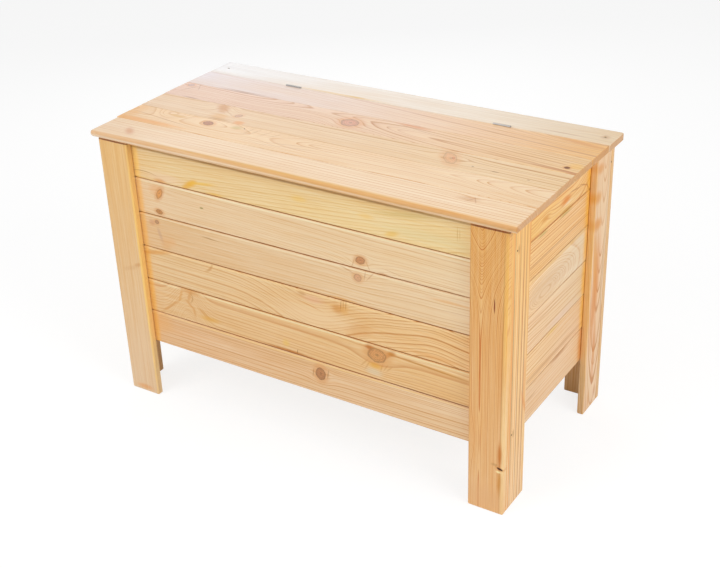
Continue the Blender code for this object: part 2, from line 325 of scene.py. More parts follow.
def bell(tree, value, power=2.0):
    """A bell curve of a distance. A higher power gives it a flatter top and steeper sides."""
    raised = add(tree, "Math", {0: value, 1: power}, operation="POWER")
    fall = add(tree, "Math", {0: raised, 1: -1.0}, operation="MULTIPLY")
    return add(tree, "Math", {0: fall}, operation="EXPONENT")


def knot_group():
    """A knot that the grain flows round. Distance is in its own radii, and the nearest knot counts."""
    name = "pine_knot"
    if name in bpy.data.node_groups:
        return bpy.data.node_groups[name]
    tree, given = new_group(name, "Vector, Board, Centre, Radii, Turn, Pull, Own shade, Own colour, "
                                  "Distance, Shade, Colour", "Vector, Distance, Shade, Colour")
    flat, ratio = from_patch(tree, given)
    # The knot's outline is a little lumpy.
    raw = add(tree, "VectorMath", {0: ratio}, operation="LENGTH")
    rough = add(tree, "TexNoise", {"Vector": ratio, "Scale": 1.3, "Detail": 2.0})
    own = add(tree, "Math", {0: rough, 1: 0.5, 2: raw}, operation="MULTIPLY_ADD")
    own = add(tree, "Math", {0: own, 1: 0.25}, operation="SUBTRACT")
    # The grain flows round it from further off along the board than across it.
    near = add(tree, "VectorMath", {0: flat, 1: given["Radii"]}, operation="DIVIDE")
    near = add(tree, "VectorMath", {0: near, 1: (0.42, 0.60, 0.0)}, operation="MULTIPLY")
    near = add(tree, "VectorMath", {0: near}, operation="LENGTH")
    amount = add(tree, "Math", {0: bell(tree, near, 3.0), 1: given["Pull"]}, operation="MULTIPLY")
    side = add(tree, "VectorMath", {0: flat, 1: (0.0, 1.0, 0.0)}, operation="MULTIPLY")
    shift = add(tree, "VectorMath", {0: side, "Scale": amount}, operation="SCALE")
    vector = add(tree, "VectorMath", {0: given["Vector"], 1: shift}, operation="SUBTRACT")
    nearer = add(tree, "Math", {0: own, 1: given["Distance"]}, operation="LESS_THAN")
    shade = add(tree, "Mix", {0: nearer, 2: given["Shade"], 3: given["Own shade"]}, data_type="FLOAT")
    colour = add(tree, "Mix", {0: nearer, 6: given["Colour"], 7: given["Own colour"]}, data_type="RGBA")
    least = add(tree, "Math", {0: own, 1: given["Distance"]}, operation="MINIMUM")
    add(tree, "NodeGroupOutput", {"Vector": vector, "Distance": least, "Shade": shade, "Colour": colour})
    return tree


def swirl_group():
    """A bulge of the growth rings, added to those before it."""
    name = "pine_swirl"
    if name in bpy.data.node_groups:
        return bpy.data.node_groups[name]
    tree, given = new_group(name, "Board, Centre, Radii, Turn, Height, Lift", "Lift")
    _, ratio = from_patch(tree, given)
    length = add(tree, "VectorMath", {0: ratio}, operation="LENGTH")
    lift = add(tree, "Math", {0: bell(tree, length), 1: given["Height"], 2: given["Lift"]},
               operation="MULTIPLY_ADD")
    add(tree, "NodeGroupOutput", {"Lift": lift})
    return tree


def stain_and_light_group():
    """A board's colour with one stain or patch of painted light or shade over it. Its edge feathers along the
    grain.
    """
    name = "pine_stain"
    if name in bpy.data.node_groups:
        return bpy.data.node_groups[name]
    tree, given = new_group(name, "Board, Centre, Radii, Turn, Bend, Strength, Soft, Feather, Colour, "
                                  "Own colour", "Colour")
    _, ratio = from_patch(tree, given)
    length = add(tree, "SeparateXYZ", {0: ratio})
    square = add(tree, "Math", {0: length, 1: length}, operation="MULTIPLY")
    rise = add(tree, "Math", {0: square, 1: given["Bend"]}, operation="MULTIPLY")
    rise = add(tree, "CombineXYZ", {1: rise})
    bent = add(tree, "VectorMath", {0: ratio, 1: rise}, operation="SUBTRACT")
    distance = add(tree, "VectorMath", {0: bent}, operation="LENGTH")
    edge = add(tree, "Math", {0: given["Feather"], 1: 0.7, 2: distance}, operation="MULTIPLY_ADD")
    edge = add(tree, "Math", {0: edge, 1: 0.35}, operation="SUBTRACT")
    inner = add(tree, "Math", {0: 1.0, 1: given["Soft"]}, operation="SUBTRACT")
    outer = add(tree, "Math", {0: 1.0, 1: given["Soft"]}, operation="ADD")
    amount = add(tree, "MapRange", {0: edge, 1: outer, 2: inner, 3: 0.0, 4: 1.0},
                 interpolation_type="SMOOTHSTEP")
    amount = add(tree, "Math", {0: amount, 1: given["Strength"]}, operation="MULTIPLY")
    colour = add(tree, "Mix", {0: amount, 6: given["Colour"], 7: given["Own colour"]}, data_type="RGBA")
    add(tree, "NodeGroupOutput", {"Colour": colour})
    return tree


def new_material(name):
    """A material and its node tree, which is empty."""
    material = bpy.data.materials.new(name)
    material.use_nodes = True
    material.node_tree.nodes.clear()
    return material, material.node_tree


def pine(name, timber, low, high, lacquered=True):
    """Planed pine: ring lines over pale wood, then stains and patches of painted light and shade, knots and
    sawn ends.

    Clear satin lacquer gives it a thin gloss that is uneven with the grain. The wood inside is bare and dull.
    """
    colours = bpy.context.scene.chest_colours
    material, tree = new_material(f"{'lacquered' if lacquered else 'bare'}_pine_{name}")
    coords = add(tree, "TexCoord")
    turn = Matrix(board_axes(low, high)).transposed().to_euler()
    board = add(tree, "Mapping", {"Vector": coords.outputs["Object"], "Location": (low + high) / 2,
                                  "Rotation": turn}, vector_type="TEXTURE")
    # Before the first knot, the nearest one is too far off to show.
    nearest = {"Vector": board, "Distance": 9.0, "Shade": 0.0, "Colour": timber.pale}
    for item in timber.knots:
        out = add(tree, "Group", {"Board": board, **nearest, **item}, node_tree=knot_group()).outputs
        nearest = {socket: out[socket] for socket in nearest}
    lift = 0.0
    for item in timber.swirls:
        lift = add(tree, "Group", {"Board": board, "Lift": lift, **item}, node_tree=swirl_group())
    growth = add(tree, "Group", {"Vector": nearest["Vector"], "Lift": lift, **timber.growth},
                 node_tree=growth_group()).outputs
    along = add(tree, "SeparateXYZ", {0: board})
    half = max(high - low) / 2
    far = add(tree, "MapRange", {0: along, 1: -half, 2: half})
    contrast = add(tree, "MapRange", {0: far, 3: timber.contrast[0], 4: timber.contrast[1]})
    late = add(tree, "Math", {0: growth["Late"], 1: contrast}, operation="MULTIPLY")
    early = add(tree, "Mix", {0: far, 6: timber.pale, 7: timber.pale_end}, data_type="RGBA")
    colour = add(tree, "Mix", {0: late, 6: early, 7: timber.late}, data_type="RGBA")
    warm = add(tree, "MapRange", {0: growth["Cloud"], 1: 0.42, 2: 0.72, 3: 0.0, 4: CLOUD_AMOUNT})
    colour = add(tree, "Mix", {0: warm, 6: colour, 7: tuple(colours.cloud)}, data_type="RGBA")
    lines = add(tree, "MapRange", {0: growth["Streak"], 1: 0.32, 2: 0.70, 3: 0.86, 4: 1.18})
    fine = add(tree, "MapRange", {0: growth["Fibre"], 1: 0.3, 2: 0.7, 3: 0.94, 4: 1.07})
    depth = add(tree, "Math", {0: lines, 1: fine}, operation="MULTIPLY")
    # A higher gamma makes streaks and fibres deeper and more orange at once, as denser wood is.
    colour = add(tree, "Gamma", {0: colour, 1: depth})
    for item in timber.stains_and_light:
        colour = add(tree, "Group", {"Board": board, "Feather": growth["Feather"], "Colour": colour, **item},
                     node_tree=stain_and_light_group())
    if timber.knots:
        colour = with_knots(tree, board, colour, nearest, tuple(colours.resin))
    end = add(tree, "Attribute", attribute_name="end_grain")
    sawn = add(tree, "Math", {0: end.outputs["Fac"], 1: 0.65}, operation="MULTIPLY")
    colour = add(tree, "Mix", {0: sawn, 6: colour, 7: tuple(colours.end_grain)}, data_type="RGBA")
    relief = add(tree, "Math", {0: growth["Late"], 1: 0.6, 2: growth["Fibre"]}, operation="MULTIPLY_ADD")
    bump = add(tree, "Bump", {"Height": relief, "Strength": 0.35, "Distance": 0.08 * MM})
    gloss = (0.36, 0.48) if lacquered else (0.58, 0.72)
    rough = add(tree, "MapRange", {0: growth["Streak"], 1: 0.3, 2: 0.7, 3: gloss[0], 4: gloss[1]})
    shader = add(tree, "BsdfPrincipled", {"Base Color": colour, "Roughness": rough, "Normal": bump,
                                          "IOR": 1.5, "Coat Weight": 0.06 if lacquered else 0.0,
                                          "Specular IOR Level": 0.25, "Coat Roughness": 0.25})
    add(tree, "OutputMaterial", {0: shader})
    return material


def with_knots(tree, board, colour, nearest, resin):
    """Lay the knots over the board's colour: a resin halo, a dark rim, rings and a dark heart."""
    halo = add(tree, "MapRange", {0: nearest["Distance"], 1: 2.1, 2: 0.95, 3: 0.0, 4: 0.5},
               interpolation_type="SMOOTHSTEP")
    halo = add(tree, "Math", {0: halo, 1: nearest["Shade"]}, operation="MULTIPLY")
    colour = add(tree, "Mix", {0: halo, 6: colour, 7: resin}, data_type="RGBA")
    zones = add(tree, "ValToRGB", {0: nearest["Distance"]})
    set_stops(zones, ((0.0, 0.66), (0.14, 0.86), (0.30, 1.10), (0.58, 1.04), (0.82, 0.90), (1.0, 0.62)))
    # Its own growth rings, four to its radius, and mottling 2.4 mm wide.
    wave = add(tree, "Math", {0: nearest["Distance"], 1: 26.0}, operation="MULTIPLY")
    wave = add(tree, "Math", {0: wave}, operation="SINE")
    rings = add(tree, "MapRange", {0: wave, 1: -1.0, 2: 1.0, 3: 0.88, 4: 1.06})
    speck = add(tree, "TexNoise", {"Vector": board, "Scale": 420.0, "Detail": 2.0})
    mottle = add(tree, "MapRange", {0: speck, 1: 0.3, 2: 0.7, 3: 0.80, 4: 1.18})
    tone = add(tree, "Math", {0: rings, 1: mottle}, operation="MULTIPLY")
    tone = add(tree, "Math", {0: tone, 1: zones}, operation="MULTIPLY")
    heart = add(tree, "VectorMath", {0: nearest["Colour"], "Scale": tone}, operation="SCALE")
    core = add(tree, "MapRange", {0: nearest["Distance"], 1: 1.10, 2: 0.92, 3: 0.0, 4: 1.0},
               interpolation_type="SMOOTHSTEP")
    core = add(tree, "Math", {0: core, 1: nearest["Shade"]}, operation="MULTIPLY")
    return add(tree, "Mix", {0: core, 6: colour, 7: heart}, data_type="RGBA")


def metal(name, colour, rough_low, rough_high):
    """Plated or dull metal, a little clouded. The clouds are 1 mm wide."""
    material, tree = new_material(name)
    coords = add(tree, "TexCoord")
    cloud = add(tree, "TexNoise", {"Vector": coords.outputs["Object"], "Scale": 900.0, "Detail": 3.0})
    tone = add(tree, "MapRange", {0: cloud.outputs["Fac"], 1: 0.3, 2: 0.7, 3: 0.80, 4: 1.05})
    tint = add(tree, "VectorMath", {0: tuple(colour), "Scale": tone}, operation="SCALE")
    rough = add(tree, "MapRange", {0: cloud.outputs["Fac"], 1: 0.3, 2: 0.7, 3: rough_low, 4: rough_high})
    shader = add(tree, "BsdfPrincipled", {"Base Color": tint, "Metallic": 1.0, "Roughness": rough})
    add(tree, "OutputMaterial", {0: shader})
    return material


def seen_or_mirrored(tree):
    """1 where the camera sees a thing, also in a gloss, and 0 where it only lights others."""
    path = add(tree, "LightPath")
    return add(tree, "Math", {0: path.outputs["Is Camera Ray"], 1: path.outputs["Is Glossy Ray"]},
               operation="MAXIMUM")


def board_axes(low, high):
    """The board's own axes: along its length, across its width, through its thickness."""
    size = high - low
    order = sorted(range(3), key=lambda axis: -size[axis])
    axes = [Vector([1.0 if i == axis else 0.0 for i in range(3)]) for axis in order]
    if axes[0].cross(axes[1]).dot(axes[2]) < 0:
        axes[2] = -axes[2]
    return axes


def mesh_from(name, bm):
    """Turn a bmesh into a mesh, and free it."""
    mesh = bpy.data.meshes.new(name)
    bm.to_mesh(mesh)
    bm.free()
    return mesh


def add_object(name, data):
    """Put new data into the scene as an object."""
    obj = bpy.data.objects.new(name, data)
    bpy.context.scene.collection.objects.link(obj)
    return obj


def link_piece(name, bm, material, body, replaced):
    """Turn a bmesh into a finished piece that rides on a body and stands for the replaced nodes."""
    obj = add_object(name, mesh_from(name, bm))
    obj.data.materials.append(material)
    flat = obj.modifiers.new("flat faces", "WEIGHTED_NORMAL")
    flat.weight = 100
    flat.keep_sharp = True
    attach(obj, body)
    if replaced:
        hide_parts(*replaced)
    return obj


def shade(bm, along=None):
    """Shade the roundings smooth, and store on each face how far it faces along the grain.

    A face that is turned 60 degrees from the grain counts as 0, and a sawn end as 1.
    """
    layer = bm.faces.layers.float.new("end_grain")
    bm.normal_update()
    for face in bm.faces:
        face.smooth = True
        if along:
            face[layer] = min(1.0, max(0.0, abs(face.normal.dot(along)) * 2.0 - 1.0))
    for edge in bm.edges:
        edge.smooth = edge.calc_face_angle(math.pi) < SMOOTH_ANGLE


def block(low, high):
    """A plain block as a bmesh: a cube drawn out to its size."""
    low, high = Vector(low), Vector(high)
    bm = bmesh.new()
    bmesh.ops.create_cube(bm, size=1.0)
    bmesh.ops.scale(bm, vec=high - low, verts=bm.verts)
    bmesh.ops.translate(bm, vec=(low + high) / 2, verts=bm.verts)
    return bm


def rod(start, end, radius_start, radius_end, sides=24):
    """A closed rod or cone between two points."""
    start, end = Vector(start), Vector(end)
    step = end - start
    bm = bmesh.new()
    bmesh.ops.create_cone(bm, cap_ends=True, segments=sides, radius1=radius_start, radius2=radius_end,
                          depth=step.length)
    turn = step.to_track_quat("Z", "X").to_matrix()
    bmesh.ops.rotate(bm, cent=(0, 0, 0), matrix=turn, verts=bm.verts)
    bmesh.ops.translate(bm, vec=(start + end) / 2, verts=bm.verts)
    return bm


def round_off(bm, edges, radius, segments):
    """Round a set of edges."""
    bmesh.ops.bevel(bm, geom=list(edges), offset=radius, segments=segments, profile=0.5, affect="EDGES",
                    clamp_overlap=True, material=-1)


def runs_along(edge, axis):
    """Whether an edge runs along an axis."""
    step = edge.verts[1].co - edge.verts[0].co
    return abs(step[axis]) > 0.9 * step.length


def lies_at(edge, axis, value):
    """Whether both ends of an edge lie at a value on an axis."""
    return all(abs(vert.co[axis] - value) < 0.1 * MM for vert in edge.verts)


def carve(bm, cutters):
    """Cut other bmeshes out of one, each in turn."""
    solid = add_object("solid", bpy.data.meshes.new("solid"))
    bm.to_mesh(solid.data)
    tools = []
    for number, cutter in enumerate(cutters):
        name = f"cutter_{number}"
        tool = add_object(name, mesh_from(name, cutter))
        cut = solid.modifiers.new(name, "BOOLEAN")
        cut.operation = "DIFFERENCE"
        cut.solver = "EXACT"
        cut.object = tool
        tools.append(tool)
    shaped = solid.evaluated_get(bpy.context.evaluated_depsgraph_get()).to_mesh()
    bm.clear()
    bm.from_mesh(shaped)
    for obj in (*tools, solid):
        mesh = obj.data
        bpy.data.objects.remove(obj)
        bpy.data.meshes.remove(mesh)
    bmesh.ops.remove_doubles(bm, verts=bm.verts, dist=0.01 * MM)
    return bm


def merge(bm, other):
    """Add another bmesh's closed body to one, and free it."""
    mesh = mesh_from("merge", other)
    bm.from_mesh(mesh)
    bpy.data.meshes.remove(mesh)


def add_board(node, body, arris, timber, lacquered=True, cutters=(), joint=0.0):
    """Replace a CAD board by a finely rounded one of its own timber."""
    segments = bpy.context.scene.chest_sizes.arris_segments
    low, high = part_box(node)
    back = Vector((0.0, 0.0, joint))
    bm = block(low + back, high - back)
    round_off(bm, bm.edges, arris, segments)
    if cutters:
        carve(bm, cutters)
    shade(bm, board_axes(low, high)[0])
    material = pine(node, timber, low, high, lacquered)
    return link_piece(f"{node}_board", bm, material, body, [node])


def screw_head(place, out, radius, depth):
    """A countersunk head with a cross recess, its top face at a place and facing out."""
    out = Vector(out)
    place = Vector(place)
    bm = rod(place - out * depth, place, radius * 0.45, radius, HEAD_SIDES)
    side = out.orthogonal().normalized()
    up = out.cross(side)
    # The cross: the length of its arms, half their width and their depth.
    arm, half, sunk = radius * 0.55, radius * 0.13, depth * 0.55
    cutters = []
    for first, second in ((side, up), (up, side)):
        reach = first * arm + second * half
        corners = [place + reach + out * depth, place - reach - out * sunk]
        low = [min(corner[axis] for corner in corners) for axis in range(3)]
        high = [max(corner[axis] for corner in corners) for axis in range(3)]
        cutters.append(block(low, high))
    return carve(bm, cutters)


def front_edges(top, foot="BD6A04", left="FFCE66"):
    """What every front plank has: a painted highlight along the eased top, a dark joint below and painted
    warm bounce light at the left end.
    """
    # The first row is a painted highlight on the eased top edge; the last is painted warm light that the post
    # beside the left end throws back.
    return ((0, 36.6, 480, 2.0, top, 0.5, 0, 0, 0.45), (0, 40.7, 480, 1.0, foot, 0.8, 0, 0, 0.4),
            (0, -40.4, 480, 1.7, foot, 0.8, 0, 0, 0.4), (-398, 0, 8, 70, left, 0.6))


def side_edges(glow="F4B83C"):
    """What every side plank has: painted warm bounce light at the far end, by the rear post, and a dark joint
    below.
    """
    # The first row is painted warm light in the shaded corner by the rear post.
    return ((158, 0, 15, 70, glow, 0.7), (0, -40.4, 240, 1.8, "A14A09", 0.75, 0, 0, 0.4))


# The pale and late wood of boards that have no entry of their own.
WALL = ("EFD2A4", "DDB07A")
POST = ("E9C08A", "CF9050")
BARE = ("E6CDA6", "CFA878")

# A knot: along, across, half length, half width, colour, shade, turn, pull.
# A swirl: along, across, half length, half width, height, turn.
# A stain or patch of painted light or shade: along, across, half length, half width, colour, strength, turn,
# bend, softness.
TIMBERS = {
    # Front planks, from the lid down.
    "front_plank_6": Timber(
        "EFD09D", "DCAB5E", "F8DDA2", ring=6, pith=(-95, -30), drift=(90, 0), wander=5, contrast=(0.8, 0.5),
        seed=1,
        swirls=((460, 0, 180, 120, -16), (-330, -40, 50, 22, 8)),
        stains_and_light=(*front_edges("FFE8B0", "DFB56F"), (-325, -27, 45, 9, "F4D4B5", 0.5),
                (-380, -22, 28, 0.9, "B57A2F", 0.7, 0, -3), (-337, -38, 14, 6, "E0913B", 0.6),
                (-262, -32, 16, 6, "EBAD2F", 0.75, 35), (-248, -24, 12, 6, "F0B534", 0.8, 30),
                (-222, -20, 30, 3.2, "F1C253", 0.7, 8), (-188, -37, 20, 3, "EDB94F", 0.6),
                (20, -1, 16, 6, "F6C853", 0.35), (175, -4, 16, 5, "F6C44F", 0.35),
                (232, -28, 14, 5, "F1BD3F", 0.6, 15), (300, -18, 90, 12, "E5D7A3", 0.3),
                # The second mark on the next line is a painted shadow: the dark band at the plank's top,
                # under the lid's overhang.
                (260, 18, 60, 6, "D4B96F", 0.4, 8), (0, 30, 480, 2.6, "996116", 0.7, 0, 0, 0.7),
                (371, 4, 12, 0.8, "CE9D49", 0.5, 90), (376, 4, 10, 0.8, "CE9D49", 0.4, 90)),
    ),
    "front_plank_5": Timber(
        "EDCDA4", "D8A76B", "F5DAB0", ring=4.4, pith=(70, -50), drift=(-30, 0), wander=5,
        contrast=(0.55, 0.75), seed=2,
        knots=((-342, 14.5, 14, 6.5, "DD9955", 0.85, 57), (-347.7, -29, 9, 5.5, "BA7C43", 0.8, -10),
               (158.5, -20.5, 11, 8, "C78959", 0.85, 8)),
        swirls=((170, -45, 60, 34, -14),),
        stains_and_light=(*front_edges("FFF9D3", left="F6B958"), (-352, 22, 15, 12, "E89D4F", 0.35),
                (-229.6, 5.5, 4.5, 2, "A38E49", 0.8, 0, 0, 0.3), (142, -29, 11, 1.2, "C68744", 0.4, 70),
                (175, -28, 13, 1.2, "C68744", 0.4, -65), (210, -38, 10, 2, "CA8B49", 0.6),
                (232, -29, 20, 0.9, "D29D63", 0.5, -8), (330, -31, 65, 0.9, "D29D63", 0.5)),
    ),
    "front_plank_4": Timber(
        "E6C091", "D19C60", "F4D8AF", ring=5.4, pith=(-70, -60), drift=(24, 0), contrast=(0.45, 0.65),
        seed=3,
        knots=((-358.5, 26, 5.5, 4.5, "B58764", 0.8), (151, 21, 9, 8, "D49D78", 0.65)),
        swirls=((155, 30, 44, 26, 9),),
        stains_and_light=((370, -40.2, 110, 2, "944507", 0.75, 0, 0, 0.4), *front_edges("FFF0CA", left="F6B958"),
                (-372, 22, 8, 6, "CF8B63", 0.5), (-353, -5, 17, 4, "C69D85", 0.45, -72),
                (-340, -22, 12, 14, "E7A866", 0.4), (-322, -14, 10, 9, "E7A866", 0.35),
                (-216, 19, 20, 1.2, "AD7844", 0.65, -3), (128, 33, 16, 1.5, "C68558", 0.45, -18),
                (180, 30, 14, 1.2, "C68558", 0.4, 50), (168, 30, 9, 0.9, "BA7855", 0.5, 80),
                (355, 20, 40, 3, "E8A858", 0.45), (115, -37, 30, 3, "E8A347", 0.5)),
    ),
    "front_plank_3": Timber(
        "EACA9B", "CE873C", "F6CD93", ring=6.5, pith=(-70, -30), wander=7, contrast=(0.5, 1.2), seed=4,
        swirls=((40, 0, 120, 200, 50), (320, 0, 60, 120, -12)),
        stains_and_light=(*front_edges("FFE0A3", left="F6B544"), (-375, 30, 40, 5, "E09733", 0.6, 12),
                (40, -15, 85, 22, "F4D2A3", 0.7), (-224, 26, 14, 2.6, "C68029", 0.5, 45, 3),
                (40, 24, 24, 8, "EAB392", 0.45), (100, 18, 13, 9, "D68B2F", 0.6),
                (116, 22, 9, 12, "E5AA58", 0.6), (108, 28, 9, 0.9, "AC6823", 0.6, 85),
                (114, 30, 9, 0.8, "AC6823", 0.5, 85), (120, 30, 9, 0.9, "AC6823", 0.5, 85),
                (14, 31, 9, 4, "C68949", 0.5), (150, -18, 30, 14, "D79142", 0.35, 25),
                (30, 8, 28, 1.2, "D78B34", 0.6, -12), (330, -30, 60, 5, "E5A35C", 0.4)),
    ),
    "front_plank_2": Timber(
        "ECC693", "CC8138", "F0C78D", ring=6.5, pith=(60, -40), drift=(-20, 0), wander=5,
        contrast=(0.55, 0.8), seed=5,
        knots=((190, 17, 22, 16, "D4995E", 0.85),),
        swirls=((-298, -20, 38, 80, 66), (190, 10, 60, 34, -10)),
        stains_and_light=((330, -40.2, 150, 2, "944507", 0.75, 0, 0, 0.4), *front_edges("FFF7C6", left="F6B544"),
                (-345, -13, 33, 3, "D78E32", 0.5, 38), (-315, 20, 17, 3, "DF9B42", 0.5, 70),
                (-290, 2, 14, 3, "D78E32", 0.5, -42), (-280, -14, 10, 3, "D78E32", 0.45, -80),
                (-290, 24, 13, 4, "D7903A", 0.5, 68), (-287, 36, 26, 5, "D99442", 0.65),
                (-282, 19, 11, 1.8, "BD7A29", 0.5, 80, 4), (-252, -10, 18, 3.5, "D79747", 0.6, -35),
                (-238, -20, 24, 6, "E5AA3F", 0.6), (-33, -37, 52, 3, "BD6F1C", 0.7),
                (-35, -20, 8, 7, "EEC458", 0.5), (-7, -33, 5, 1, "9F611C", 0.7, 80),
                (173, 31, 9, 5, "AC5F1C", 0.8), (224, 31, 9, 6, "C67A1F", 0.75, 20),
                (185, -9, 14, 6, "EBB344", 0.7), (200, -10, 9, 1.4, "CA8734", 0.4, 75),
                (210, -7, 9, 1.4, "CA8734", 0.4, 58), (218, -8, 9, 1.4, "CA8734", 0.4, 45),
                (160, -8, 12, 1.4, "CA8734", 0.4, 48), (166, -14, 12, 1.4, "CA8734", 0.35, 60),
                (182, -25, 18, 7, "E4D4B5", 0.6), (305, 24, 95, 2, "C68329", 0.75, -3),
                (310, 31, 92, 2.6, "FCE5B7", 0.45, -3)),
    ),
    "front_plank_1": Timber(
        "EBBF90", "D09053", "F1D1A7", ring=5.5, pith=(-90, -50), drift=(8, 0), wander=4,
        contrast=(0.8, 1.1), seed=6,
        knots=((49.5, 11, 12.5, 14.5, "BA8153", 0.9),),
        swirls=((50, 10.5, 40, 26, 5),),
        stains_and_light=(*front_edges("FFDC92", left="F6B544"), (50, 11, 5, 6.5, "842E11", 0.6),
                (31, 10, 9, 1, "9D6326", 0.6, 80), (68, 15, 10, 1.1, "9D6326", 0.6, 80),
                (-120, 26, 210, 1.2, "CE8E4C", 0.5), (-140, 19, 180, 0.9, "CE8E4C", 0.4),
                # The last mark on the next line is painted warm bounce light at the left end, beside the
                # post.
                (-60, 5, 90, 1, "CE8E4C", 0.4), (-380, 20, 26, 26, "F0B05F", 0.35)),
    ),
    # Lid boards, from the front.
    "lid_board_1": Timber(
        "F3D7B7", "D9A671", "F3D8B5", ring=5.5, pith=(-60, -45), drift=(-20, 6), wander=3,
        contrast=(0.75, 1.5), seed=11, ends=(0.5, -2.0),
        swirls=((376, 21, 30, 12, 8),),
        # The second mark on the next line is painted shade: darker along the front of the nosing, where it
        # turns down.
        stains_and_light=((-418, -8, 17, 8, "D28C5B", 0.6, -45, 0, 0.8), (200, -40, 330, 5, "DFA34E", 0.4),
                (-20, -37, 300, 5, "E9BD72", 0.4), (370, 22, 20, 8, "CA915B", 0.45),
                (376, 22, 12, 1.2, "AF6942", 0.5, 60), (384, 22, 12, 1.2, "AF6942", 0.4, -60)),
    ),
    "lid_board_2": Timber(
        "F1CEA2", "D4995C", "F1D5B0", pith=(20, -14), wander=4, contrast=(0.65, 0.9), seed=12,
        ends=(1.0, -2.0),
        knots=((-295, 18, 13, 10, "B17655", 0.9, -20),),
        swirls=((520, 20, 150, 300, -30), (-400, 25, 60, 26, 26), (-150, 60, 70, 60, 34),
                (-60, -60, 160, 50, -16)),
        stains_and_light=((-435, -32, 85, 8, "E99D43", 0.7), (-490, 0, 20, 60, "E7A553", 0.4),
                (-380, 22, 20, 6, "DAA555", 0.6), (-225, 25, 12, 8, "C1A555", 0.45),
                (-207, 28, 4, 1, "774223", 0.8, -50), (-410, -4, 84, 1.1, "B8753D", 0.6, -8),
                (-190, 22, 16, 1.1, "BD8A51", 0.55, 80), (-175, 22, 16, 1.1, "BD8A51", 0.55, 76),
                (-150, 22, 17, 1.1, "BD8A51", 0.5, 66), (-125, 24, 17, 1.1, "BD8A51", 0.5, 56),
                (-75, -4, 80, 1.1, "CB9B72", 0.55, 11), (-60, -14, 84, 1.1, "CB9B72", 0.5, 10)),
    ),
    "lid_board_3": Timber(
        "E9C9A6", "C79057", "EBCC9F", ring=5.6, pith=(60, -70), drift=(-16, 0), wander=5,
        contrast=(0.45, 1.1), seed=13, ends=(2.0, -2.5),
        knots=((-263, 0, 9, 7, "CB997C", 0.7, 50), (250, 6, 30, 13, "DEA473", 0.55, -56),
               (253, 8, 16, 8, "CB8153", 0.75, -56)),
        swirls=((-322, 22, 38, 24, 16, -40),),
        stains_and_light=((-322, 24, 26, 12, "CA7F35", 0.65, -52), (-300, -20, 20, 12, "DFA555", 0.5),
                (-290, -35, 24, 5, "C3853A", 0.6), (-238, -33, 12, 8, "E6913C", 0.6),
                (308, -11, 3, 1.4, "8E5432", 0.8, 0, 0, 0.3), (357, -15, 8, 1.6, "8E5432", 0.7, 0, 0, 0.4),
                (430, -20, 3, 1.2, "8E5432", 0.6, 0, 0, 0.4)),
    ),
    # Its pale wood at the left end is partly painted sheen: paler and pinker than its own colour, for the
    # light at the back left of the top.
    "lid_board_4": Timber(
        "E8C8B7", "C88D5D", "EDC995", ring=6.4, pith=(14, -10), drift=(-100, 0), wander=4,
        contrast=(0.9, 1.05), seed=14, ends=(3.5, -2.0),
        knots=((-27, -7, 22, 18, "D2977C", 0.85, -25), (-481, 27, 8, 7, "CBAAA4", 0.75),
               (470, -16, 6, 5, "7A4513", 0.95)),
        swirls=((-120, 0, 150, 200, 36), (-400, -30, 90, 40, 20)),
        stains_and_light=((484, -4, 16, 12, "F1BD61", 0.6), (103, 36, 34, 5, "D57A3F", 0.6, -4),
                (-330, 39, 60, 1.5, "9B593A", 0.7), (-430, -39, 20, 1.5, "9B593A", 0.6),
                (-470, 10, 20, 1.2, "A56C4E", 0.5, 60), (-455, 24, 18, 1, "A56C4E", 0.4, -60),
                (104, 26, 42, 1.2, "B87542", 0.5, -13), (200, 9, 64, 1.2, "B87542", 0.45, -9),
                (378, -12, 120, 1.2, "B87542", 0.45, -6), (470, -17, 5, 1.8, "3C1304", 0.95, 0, 0, 0.4)),
    ),
    # Its pale wood whitens towards the left end and its rings fade there: painted sheen for the light at the
    # back left of the top.
    "lid_board_5": Timber(
        "E6DBDC", "C8936E", "EEBD7B", ring=6.4, pith=(90, -60), drift=(-100, 0), wander=4,
        contrast=(0.3, 0.8), seed=15, ends=(3.5, -1.5),
        swirls=((480, 40, 160, 30, -18),),
        stains_and_light=((-345, -38, 48, 2.2, "B07A4E", 0.6), (445, 28, 55, 7, "D68C4A", 0.45, -10),
                (330, 10, 90, 1.2, "C17D48", 0.4, -6)),
    ),
    # Its pale wood is near white at the left end and its rings are faint: painted sheen for the light at the
    # back left of the top.
    "rear_top_board": Timber(
        "EFEDED", "D1BBA4", "EBD3B1", ring=6, pith=(70, -60), drift=(-10, 0), wander=4, contrast=(0.2, 0.5),
        seed=16, ends=(2.5, 0.0),
        swirls=((450, 12, 46, 20, 12),),
        stains_and_light=((-140, -34, 110, 3.5, "E9C587", 0.7), (-95, -33, 22, 4, "DAAF5B", 0.6),
                (390, -19, 42, 1.4, "B87D48", 0.5), (476, -2, 9, 9, "B8824E", 0.35)),
    ),
    # Right side planks, from the lid down.
    "right_plank_6": Timber(
        "F1C165", "D48125", "F3C88B", ring=7, pith=(40, -24), drift=(-30, 0), wander=8, contrast=(1.1, 1.1),
        seed=21,
        swirls=((170, -10, 50, 60, 26), (-56, -14, 30, 12, 8)),
        stains_and_light=(*side_edges(), (-56, -16, 17, 6, "D98E2C", 0.7), (38, -17, 20, 8, "DE821C", 0.85),
                (40, -38, 24, 3, "C59123", 0.7), (50, -26, 20, 3, "F2D8AB", 0.6),
                (85, -12, 26, 1.4, "B46B29", 0.7, -9), (125, -18, 18, 1.4, "B46B29", 0.7, -20),
                (146, -30, 10, 1.6, "B46B29", 0.7, -55)),
    ),
    "right_plank_5": Timber(
        "F3C882", "D3802E", "F0C38A", ring=5.5, pith=(150, -40), drift=(-10, 0), wander=2.5,
        contrast=(1.8, 0.9), seed=22,
